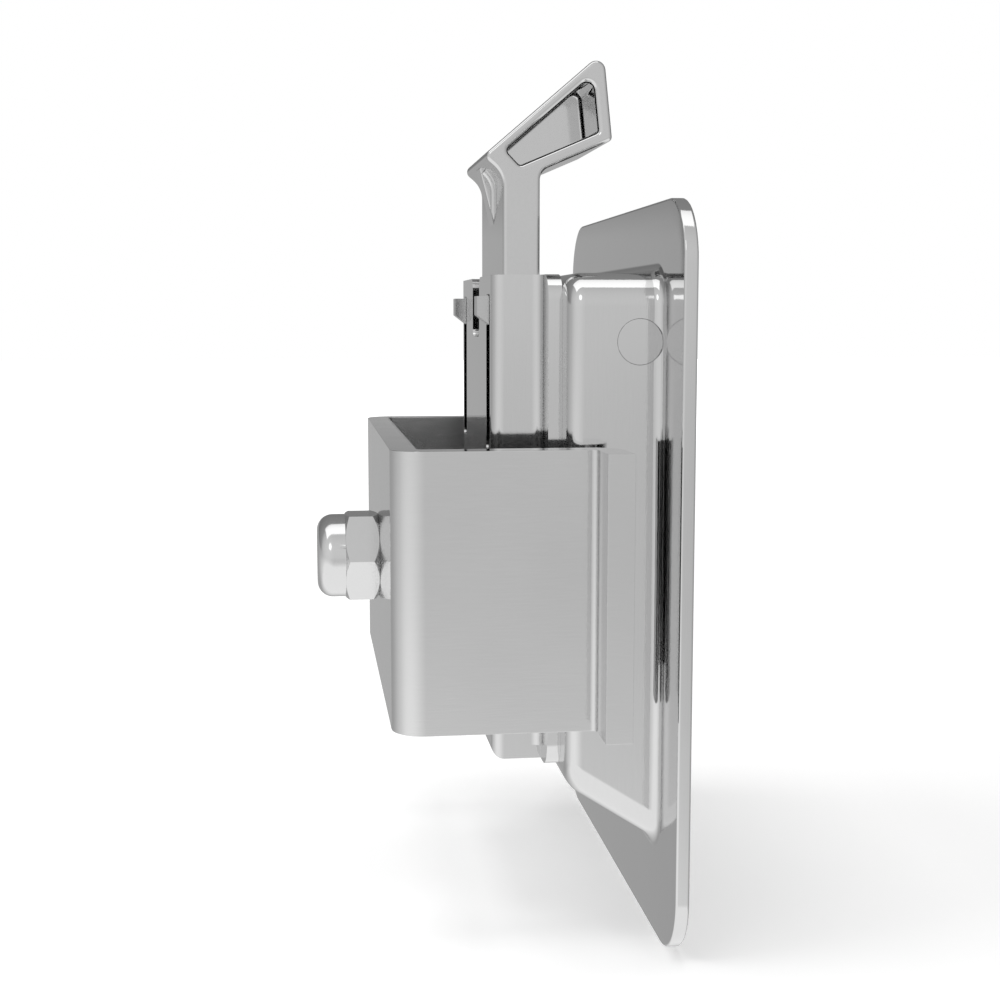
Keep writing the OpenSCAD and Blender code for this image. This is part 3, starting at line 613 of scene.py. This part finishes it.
combine(bracket, [turned("stud_clearance", [(4.3, 30), (4.3, 42)], "y", CLAMP_AXIS)], "DIFFERENCE")
stands_for(soften(bracket, 0.08, segments=2), ["clamp_bracket"], "bracket", "bracket_steel")

# %% [markdown]
# ## Stud and cap nut
# The stud carries a real thread. A bump could fake it, but its outline would stay smooth. So a
# screw surface is a grid of points round the axis whose radius follows a zigzag that climbs
# one pitch with each turn. The nut is a hexagon whose corners are turned off to a cone at
# both ends, with a dome turned on top.


# %% Threaded stud
def threaded(name, radius, depth, pitch, low, high, axis_z):
    """A screw from low to high along Y, its crests at the radius."""
    around, each = 48, 10
    rows = int((high - low) / pitch * each)
    rings = []
    for k in range(rows + 1):
        along = low + (high - low) * k / rows
        fade = min(1, (high - along) / pitch)
        ring = []
        for i in range(around):
            phase = ((along / pitch) - i / around) % 1
            groove = min(1, max(0, abs(phase * 2 - 1) * 1.3 - 0.15))
            r = radius - depth * groove - (1 - fade) * 0.5
            t = 2 * math.pi * i / around
            ring.append((r * math.cos(t), along, axis_z + r * math.sin(t)))
        rings.append(ring)
    return joined_rings(name, rings)


THREAD_DEPTH, PITCH, THREAD_START, STUD_END = 0.7, 1.25, 23.6, 42.78
stud = threaded("clamp_stud_fine", STUD_R, THREAD_DEPTH, PITCH, THREAD_START, STUD_END, CLAMP_Z)
head = [(HEAD_R - 0.15, 20.64), (HEAD_R, 20.74), (HEAD_R, HEAD_REAR)]
neck = [(STUD_R, HEAD_REAR), (STUD_R, 23.5), (3.3, 24.0)]
combine(stud, [turned("stud_head", head + neck, "y", CLAMP_AXIS)], "UNION")
stands_for(soften(stud, 0), ["clamp_stud"], "housing", "plain_steel")

# %% Cap nut
ACROSS_FLATS, HEX_H = 13, 5.3
DOME_R, DOME_H, DOME_EDGE = 6.45, 9.5, 2.4
hex_r = ACROSS_FLATS / 2 / math.cos(math.radians(30))
hexagon = arc(0, CLAMP_Z, hex_r, 0, 360, 6)[:-1]
nut = pushed("cap_nut_fine", hexagon, "y", BACK_Y, BACK_Y + HEX_H)
cone = [
    (DOME_R, BACK_Y),
    (hex_r + 0.2, BACK_Y + 1.1),
    (hex_r + 0.2, BACK_Y + HEX_H - 0.85),
    (DOME_R - 0.15, BACK_Y + HEX_H),
]
combine(nut, [turned("cone", cone, "y", CLAMP_AXIS)], "INTERSECT")
dome_round = arc(DOME_R - DOME_EDGE, BACK_Y + DOME_H - DOME_EDGE, DOME_EDGE, 0, 90, 20)
dome = [(DOME_R, BACK_Y + HEX_H - 0.3)] + dome_round
combine(nut, [turned("dome", dome, "y", CLAMP_AXIS)], "UNION")
nut_bore = turned("nut_bore", [(4.0, BACK_Y - 1), (4.0, BACK_Y + 8.3)], "y", CLAMP_AXIS)
groove = [(5.32, BACK_Y + 5.5), (5.32, BACK_Y + 7.34)]
combine(nut, [nut_bore, turned("ring_groove", groove, "y", CLAMP_AXIS)], "DIFFERENCE")
stands_for(soften(nut, 0.14), ["cap_nut"], "nut", "nut_steel")

# %% [markdown]
# ## Springs
# Each bolt spring is a wire helix with closed end turns. The paddle's spring turns round the
# pivot pin, with one leg on the dish and the other hooked under the lever. A screw modifier
# makes even turns only, so each wire follows a path of its own.
# The bolt springs flatten as the bolt comes down.


# %% Bolt springs
def coil_height(turn, turns, low, high, closed):
    """Height of a wire after so many turns, with a closed turn at each end."""
    if turn < 1:
        return low + closed * turn
    if turn > turns - 1:
        return high - closed * (turns - turn)
    return low + closed + (high - low - 2 * closed) * (turn - 1) / (turns - 2)


BOLT_TURNS, BOLT_WIRE, BOLT_COIL_R = 11, 0.8, 2.7
BOLT_SPRING_LOW, BOLT_SPRING_HIGH, CLOSED_RISE = -25.95, -0.45, 0.85
for name, x in (("left_spring", -SPRING_X), ("right_spring", SPRING_X)):
    path = []
    for k in range(BOLT_TURNS * 24 + 1):
        t = 2 * math.pi * k / 24
        z = coil_height(k / 24, BOLT_TURNS, BOLT_SPRING_LOW, BOLT_SPRING_HIGH, CLOSED_RISE)
        path.append((x + BOLT_COIL_R * math.cos(t), SPRING_Y + BOLT_COIL_R * math.sin(t), z))
    coil = soften(wire_along(name + "_fine", path, BOLT_WIRE), 0)
    spring = stands_for(coil, [name], "housing", "spring_steel")
    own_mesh(spring)


# %% Path of the paddle's spring
def round_pivot(x, radius, degrees):
    """A point beside the pivot pin, from its distance to the pin's axis and its angle."""
    t = math.radians(degrees)
    return Vector((x, PIVOT_Y + radius * math.cos(t), PIVOT_Z + radius * math.sin(t)))


COIL_R, COIL_X, COIL_RUN, COIL_START, COIL_END = PIN_R + 0.75, 10.74, 5.49, 100, 2104
DISH_LEG, LEVER_LEG, HOOK_R, HOOK_END, PADDLE_WIRE = 8.312, 4.5, 0.9, 3, 0.9
path = [round_pivot(COIL_X, COIL_R, COIL_START) + DISH_LEG * Vector((0, 0.985, 0.174))]
for k in range(241):
    degrees = COIL_START + (COIL_END - COIL_START) * k / 240
    path.append(round_pivot(COIL_X - COIL_RUN * k / 240, COIL_R, degrees))
straight = round_pivot(0, 1, COIL_END + 90) - round_pivot(0, 0, 0)
bend = path[-1] + LEVER_LEG * straight
for t in quarter(6):
    sideways = Vector((HOOK_R * (1 - math.cos(t)), 0, 0))
    path.append(bend + straight * HOOK_R * math.sin(t) - sideways)
path.append(path[-1] - Vector((HOOK_END, 0, 0)))
print("wire of the paddle's spring:", len(path), "points")

# %% Paddle spring
spring = soften(wire_along("paddle_spring_fine", path, PADDLE_WIRE), 0)
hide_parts("paddle_spring")
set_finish(spring, "spring_steel")
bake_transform(spring)
print(spring.name, "faces:", len(spring.data.polygons))

# %% [markdown]
# ## Paddle and its small parts
# The paddle is a thick plate with a curl over the pin and a full round lip for the fingers.
# It is seen from the front of the door. Its section is the same from side to side, so it is
# pushed like the bracket, and two cheeks with eyes for the bushes are joined to its ends.
# The small parts inside keep their CAD meshes.

# %% Section of the paddle
FRONT, PADDLE_T, PADDLE_FOOT, BARREL_R, PADDLE_W = -2.5, 2.2, 22, 5.9, 56.2
PADDLE_BACK, LIP_Z = FRONT + PADDLE_T, -PADDLE_FOOT + PADDLE_T
curl_out = arc(PIVOT_Y, PIVOT_Z, BARREL_R, 90, 180, 16)
lip_round = arc(PADDLE_BACK, LIP_Z, PADDLE_T, 0, -180, 16)[::-1]
plate_back = [(PADDLE_BACK, LIP_Z), (PADDLE_BACK, PIVOT_Z - 3.3)]
curl_in = arc(PIVOT_Y, PIVOT_Z, PIN_R + 1.5, 180, 90, 16)
curl_in = [p for p in curl_in if p[0] < PADDLE_BACK or p[1] > PIVOT_Z + 2.5]
section = curl_out + [(FRONT, LIP_Z)] + lip_round[1:] + plate_back[1:] + curl_in
paddle = pushed("paddle_fine", section, "x", -PADDLE_W / 2, PADDLE_W / 2)
print("points in the paddle's section:", len(section))

# %% Cheeks, eyes and bores
CHEEK_HALF, CHEEK_D, CHEEK_RISE, BUSH_R = 1.25, 11.2, 14, 1.07
rear = FRONT + CHEEK_D
cheek_side = [
    (FRONT + 1, PIVOT_Z),
    (FRONT + 1, LIP_Z),
    (PADDLE_BACK, LIP_Z),
    (rear, CHEEK_RISE - PADDLE_FOOT),
    (rear, PIVOT_Z - BARREL_R),
    (PIVOT_Y + BARREL_R, PIVOT_Z),
]
cheeks = []
for side in (-1, 1):
    x = side * (PADDLE_W / 2 - CHEEK_HALF)
    low, high = x - CHEEK_HALF, x + CHEEK_HALF
    cheeks.append(pushed("cheek", cheek_side, "x", low, high))
    cheeks.append(turned("eye", [(BARREL_R, low), (BARREL_R, high)], "x", PIVOT))
combine(paddle, cheeks, "UNION")
round_corners = rounded(rectangle(PADDLE_W, 61, 1.2, 0, 8.5))
combine(paddle, [pushed("round_corners", round_corners, "y", -5, 12)], "INTERSECT")
bush_bore = turned("bush_bore", [(PIN_R + BUSH_R, -40), (PIN_R + BUSH_R, 40)], "x", PIVOT)
combine(paddle, [bush_bore], "DIFFERENCE")
stands_for(soften(paddle, 0.3), ["paddle"], "paddle", "polished_steel")

# %% [markdown]
# ## Shader maths as expressions
# A material is a graph of nodes, and a long graph is hard to read. This class wraps a socket,
# so that sums and products of sockets are written as Python and make the nodes by themselves.


# %% A socket that can be added and multiplied
class Value:
    """One socket of a material's nodes."""

    def __init__(self, tree, socket=None):
        self.tree = tree
        self.socket = socket

    def add_node(self, kind, settings, inputs, output=0):
        """Adds a node: its type, then its settings, then what goes into its sockets."""
        node = self.tree.nodes.new(kind)
        for name, setting in settings.items():
            setattr(node, name, setting)
        for name, given in inputs.items():
            if isinstance(given, Value):
                self.tree.links.new(given.socket, node.inputs[name])
            else:
                node.inputs[name].default_value = given
        return Value(self.tree, node.outputs[output] if node.outputs else None)

    def maths(self, operation, *values):
        """A Math node on sockets or numbers."""
        return self.add_node("ShaderNodeMath", {"operation": operation}, dict(enumerate(values)))

    def between(self, value):
        """A value kept between 0 and 1."""
        return self.maths("MINIMUM", self.maths("MAXIMUM", value, 0), 1)

    def __add__(self, other):
        return self.maths("ADD", self, other)

    def __sub__(self, other):
        return self.maths("SUBTRACT", self, other)

    def __rsub__(self, other):
        return self.maths("SUBTRACT", other, self)

    def __mul__(self, other):
        return self.maths("MULTIPLY", self, other)

    def __pow__(self, other):
        return self.maths("POWER", self, other)

    def __rpow__(self, other):
        return self.maths("POWER", other, self)

    __radd__ = __add__
    __rmul__ = __mul__


print("expressions on sockets are ready")


# %% Start and end of a material
def start_material(name):
    """An empty material, with its object coordinates in millimetres."""
    material = bpy.data.materials.new(name)
    material.use_nodes = True
    material.node_tree.nodes.clear()
    nodes = Value(material.node_tree)
    place = nodes.add_node("ShaderNodeTexCoord", {}, {}, "Object")
    scale = {0: place, "Scale": 1 / MM}
    return material, nodes, nodes.add_node("ShaderNodeVectorMath", {"operation": "SCALE"}, scale)


def end_material(nodes, sockets):
    """The shader at the end: its sockets take numbers, colours or expressions."""
    shader = nodes.add_node("ShaderNodeBsdfPrincipled", {}, sockets)
    nodes.add_node("ShaderNodeOutputMaterial", {}, {"Surface": shader})


def noise(nodes, place, scale, detail):
    """Soft noise at a place, with so many bumps to the millimetre."""
    return nodes.add_node(
        "ShaderNodeTexNoise", {}, {"Vector": place, "Scale": scale, "Detail": detail}
    )


print("a material starts from millimetres")

# %% [markdown]
# ## Polished stainless steel
# Polished sheet still shows where it came from: a faint grain from rolling, a few hairline
# scratches, and a haze that comes and goes where it was handled or buffed. The grain is noise
# stretched along one direction, the haze is soft noise, and both only nudge the roughness.
# Castings show a fine orange-peel instead of grain. No polishing wheel reaches inside the
# bracket, so a box there stays rougher and less of a mirror.


# %% Steel finishes
def steel(name, colour, roughness, haze, grain_scale, grain, peel, dull=None):
    """A steel finish. The grain runs along the axis with the smallest scale.
    The finish stays dull nearer to X = 0 than the first limit and below the second in Y."""
    material, nodes, mm = start_material(name)
    times = {"operation": "MULTIPLY"}
    turn = {"Vector": mm, "Rotation": (0.7, 0.4, 1.1)}
    slanted = nodes.add_node("ShaderNodeVectorRotate", {"rotation_type": "EULER_XYZ"}, turn)
    hair_place = nodes.add_node("ShaderNodeVectorMath", times, {0: slanted, 1: (0.05, 1.6, 1.6)})
    hair_noise = noise(nodes, hair_place, 1, 0)
    hair = nodes.maths("MAXIMUM", 1 - nodes.maths("ABSOLUTE", hair_noise - 0.5) * 60, 0)
    stretched = nodes.add_node("ShaderNodeVectorMath", times, {0: mm, 1: grain_scale})
    lines = noise(nodes, stretched, 1, 2)
    cloud, skin = noise(nodes, mm, 0.07, 3), noise(nodes, mm, 1.4, 1)
    shade = {0: colour, "Scale": (cloud - 0.5) * 0.06 + (lines - 0.5) * 0.05 + 1}
    tint = nodes.add_node("ShaderNodeVectorMath", {"operation": "SCALE"}, shade)
    rough = roughness + (cloud - 0.5) * haze + (lines - 0.5) * grain * 0.3 + hair * 0.05
    height = (lines - 0.5) * grain + (skin - 0.5) * peel + hair * -0.02
    relief = {"Strength": 0.25, "Distance": 0.00004, "Height": height}
    bump = nodes.add_node("ShaderNodeBump", {}, relief)
    metal = 1.0
    if dull:
        x, y = [nodes.add_node("ShaderNodeSeparateXYZ", {}, {"Vector": mm}, axis) for axis in "XY"]
        inside = nodes.between(dull[0] - nodes.maths("ABSOLUTE", x)) * nodes.between(dull[1] - y)
        rough, metal = rough + inside * 0.25, 1 - inside * 0.4
    sockets = {"Base Color": tint, "Metallic": metal, "Roughness": rough, "Normal": bump}
    end_material(nodes, sockets)
    return material


def grey(shade):
    """A colour without a tint."""
    return (shade, shade, shade)


finishes = {
    "polished_steel": steel("polished_steel", grey(0.60), 0.06, 0.04, (7, 7, 0.25), 0.25, 0.05),
    "bracket_steel": steel(
        "bracket_steel", grey(0.60), 0.09, 0.05, (0.25, 0.25, 7), 0.3, 0.05, dull=(34.0, 35.0)
    ),
    "bolt_steel": steel("bolt_steel", grey(0.58), 0.09, 0.05, (2, 2, 2), 0.1, 0.2),
    "nut_steel": steel("nut_steel", grey(0.62), 0.13, 0.05, (1, 9, 1), 0.2, 0.05),
    "plain_steel": steel("plain_steel", grey(0.52), 0.22, 0.1, (6, 6, 0.6), 0.2, 0.1),
    "spring_steel": steel("spring_steel", grey(0.50), 0.24, 0.1, (5, 5, 5), 0.4, 0.1),
}
print("steel finishes:", sorted(finishes))

# %% [markdown]
# ## Plastics and rubber
# Moulded acetal and nylon have a fine spark texture from the mould. The nylon is a little
# milky. Rubber is rougher, with a grey bloom that gathers in patches.
# One plain colour would do for parts so small, but up close it looks like paint.


# %% Plastic and rubber finishes
def moulded(name, colour, bloom, roughness, scale, depth):
    """A moulded finish whose colour drifts towards its bloom."""
    material, nodes, mm = start_material(name)
    patches, sparks = noise(nodes, mm, 0.5, 4), noise(nodes, mm, scale, 3)
    colours = {"Factor": patches * 0.5, 6: (*colour, 1), 7: (*bloom, 1)}
    mixed = nodes.add_node("ShaderNodeMix", {"data_type": "RGBA"}, colours, 2)
    rough = roughness + (sparks - 0.5) * 0.2
    relief = {"Strength": 0.4, "Distance": depth, "Height": sparks}
    bump = nodes.add_node("ShaderNodeBump", {}, relief)
    end_material(nodes, {"Base Color": mixed, "Roughness": rough, "Normal": bump})
    return material


finishes["bush_plastic"] = moulded("bush_plastic", grey(0.03), grey(0.07), 0.45, 9, 0.00002)
finishes["ring_nylon"] = moulded(
    "ring_nylon", (0.72, 0.72, 0.68), (0.8, 0.8, 0.76), 0.4, 6, 0.00002
)
finishes["buffer_rubber"] = moulded("buffer_rubber", grey(0.018), grey(0.06), 0.75, 4, 0.00005)
print("all finishes:", len(finishes))

# %% [markdown]
# ## A finish for every piece
# Each piece knows its slot, and the record names the slot of each CAD solid. So two loops
# dress the whole latch, and no piece can be forgotten.

# %% Give every piece and every CAD node its finish
slot_of = {r["node"]: r["material_slot"] for r in frame["record"]["subparts"]}
for piece in [o for o in bpy.data.objects if o.type == "MESH" and "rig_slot" in o]:
    piece.data.materials.clear()
    piece.data.materials.append(finishes[piece["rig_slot"]])
for node, solid in frame["nodes"].items():
    solid.data.materials.clear()
    solid.data.materials.append(finishes[slot_of[node]])
print("finished nodes:", len(slot_of))

# %% [markdown]
# ## Floor
# The photograph is a catalogue picture on white, with only a faint shadow under the part.
# White behind and around the part comes from what the camera sees of floor and world, and
# not from more light on the steel. The floor glows a little for the camera, more so further
# away, and mirrors look straight through it into the light tent.

# %% Floor
FLOOR_TOP, FLOOR_FOOT, FLOOR_HALF = -52.55, -53.5, 3000
floor_outline = rounded(rectangle(2 * FLOOR_HALF, 2 * FLOOR_HALF, 0))
floor = pushed("floor", floor_outline, "z", FLOOR_FOOT, FLOOR_TOP)
material, nodes, mm = start_material("paper_floor")
fibre = 0.99 + noise(nodes, mm, 0.8, 4) * 0.02
white_paper = {0: grey(0.93), "Scale": fibre}
paper = nodes.add_node("ShaderNodeVectorMath", {"operation": "SCALE"}, white_paper)
away = nodes.add_node("ShaderNodeVectorMath", {"operation": "LENGTH"}, {0: mm}, "Value")
far = nodes.between((away - 150) * 0.001)
camera_ray = nodes.add_node("ShaderNodeLightPath", {}, {}, "Is Camera Ray")
glossy_ray = nodes.add_node("ShaderNodeLightPath", {}, {}, "Is Glossy Ray")
lit_paper = {"Base Color": paper, "Roughness": 1.0, "Specular IOR Level": 0.0}
lit_paper |= {"Emission Color": camera_ray * (0.35 + far * 0.8), "Emission Strength": 1.0}
lit = nodes.add_node("ShaderNodeBsdfPrincipled", {}, lit_paper)
clear = nodes.add_node("ShaderNodeBsdfTransparent", {}, {})
surface = nodes.add_node("ShaderNodeMixShader", {}, {0: glossy_ray, 1: lit, 2: clear})
nodes.add_node("ShaderNodeOutputMaterial", {}, {"Surface": surface})
floor.data.materials.append(material)
print("floor top at", FLOOR_TOP, "mm")

# %% [markdown]
# ## Light tent
# Polished steel shows its surroundings, so its tones are made there. An image of a studio
# would do it too, but a few sums on the direction of a ray need no file. The tent is lighter
# above and to the left, a little lighter behind, and darker high on the right. Below, where
# a white table would be, it brightens to the left, behind and straight down. A light panel
# overhead and a small lamp to the upper left give the highlights.

# %% Directions in the tent
world = bpy.data.worlds.new("light_tent")
bpy.context.scene.world = world
world.use_nodes = True
world.node_tree.nodes.clear()
sky = Value(world.node_tree)
direction = sky.add_node("ShaderNodeTexCoord", {}, {}, "Generated")
across, depth, up = [
    sky.add_node("ShaderNodeSeparateXYZ", {}, {"Vector": direction}, axis) for axis in "XYZ"
]
above, below = sky.maths("MAXIMUM", up, 0), sky.maths("MAXIMUM", up * -1, 0)
left = sky.maths("MAXIMUM", across * -1, 0)
behind = sky.maths("MAXIMUM", depth * 0.94 - across * 0.34, 0)
high_right = sky.between(across * 4) * sky.between(up * 14 - 0.7)
print("directions are ready:", "above, below, left, behind, high right")

# %% Brightness of the tent, as mirrors see it
sides = 0.45 + above * 0.16 + left * 0.38 + behind**2 * 0.25 - high_right * 0.25
slanted = left * (below * 5 - 1.3) + behind**2 * 1.4
under = below * slanted + sky.between(below * 2 - 0.9) * 0.9
panel_across = sky.between((0.32 - sky.maths("ABSOLUTE", across + 0.05)) * 30)
panel_deep = sky.between((0.5 - sky.maths("ABSOLUTE", depth - 0.16)) * 30)
panel = panel_across * panel_deep * sky.between(up * 9 - 4)
towards_lamp = {0: direction, 1: (-0.78, 0.355, 0.515)}
lamp_dot = sky.add_node(
    "ShaderNodeVectorMath", {"operation": "DOT_PRODUCT"}, towards_lamp, "Value"
)
small_lamp = sky.between((lamp_dot - 0.985) * 200)
mirrored = sky.maths("MINIMUM", sides + under, 1.2) + panel + small_lamp * 1.2
print("the tent has", len(world.node_tree.nodes), "nodes")

# %% World
TENT_LIGHT = 0.28
camera_ray, glossy_ray, through_ray = [
    sky.add_node("ShaderNodeLightPath", {}, {}, ray)
    for ray in ("Is Camera Ray", "Is Glossy Ray", "Is Transmission Ray")
]
white = sky.maths("MAXIMUM", camera_ray, through_ray)
ambient = TENT_LIGHT * (1 - white) * (1 - glossy_ray)
strength = ambient + white + glossy_ray * mirrored * (1 - white)
colour_and_strength = {"Color": (1, 1, 1, 1), "Strength": strength}
backdrop = sky.add_node("ShaderNodeBackground", {}, colour_and_strength)
sky.add_node("ShaderNodeOutputWorld", {}, {"Surface": backdrop})
print("the tent lights matt surfaces with", TENT_LIGHT)

# %% [markdown]
# ## Lamps
# Two wide soft lamps, above and behind, light the floor and its faint shadow. They are hidden
# from mirrors, because a lamp seen in polished steel burns out a whole face. The tent's
# drawn panel stands for them there.


# %% Lamps
def lamp(name, place, towards, size, watts):
    """A soft square lamp at a place, in metres, that shines towards a point."""
    light = bpy.data.lights.new(name, "AREA")
    light.energy, light.size = watts, size
    holder = bpy.data.objects.new(name, light)
    holder.location = place
    aim = Vector(towards) - Vector(place)
    holder.rotation_euler = aim.to_track_quat("-Z", "Y").to_euler()
    holder.visible_glossy = False
    bpy.context.collection.objects.link(holder)
    print(name, "gives", watts, "W")


lamp("top_softbox", (-0.085, 0.1, 0.75), (-0.085, 0.1, 0.0), 0.46, 2.7)
lamp("side_softbox", (0.0, 0.6, 0.6), (0.0, 0.0, 0.0), 0.5, 2.3)

# %% [markdown]
# ## Camera
# The place, the turn and the lens come from the part's straight edges in the photograph,
# solved together with their real lengths. The latch is seen from its left side, turned a
# little to show its rear.

# %% Camera
YAW, PITCH = math.radians(7.39), math.radians(6.79)
flat = math.cos(PITCH)
forward = Vector((math.cos(YAW) * flat, -math.sin(YAW) * flat, -math.sin(PITCH)))
camera = bpy.data.objects.new("camera", bpy.data.cameras.new("camera"))
camera.data.lens, camera.data.sensor_width = 55.21, 36
camera.data.clip_start, camera.data.clip_end = 0.01, 20
camera.location = Vector((-239.0, 49.85, 36.44)) * MM
camera.rotation_mode = "QUATERNION"
camera.rotation_quaternion = forward.to_track_quat("-Z", "Y")
bpy.context.collection.objects.link(camera)
bpy.context.scene.camera = camera
bpy.context.scene.view_settings.view_transform = "Standard"
print("camera", round((camera.location - Vector((0, 0.02, 0))).length, 3), "m away")
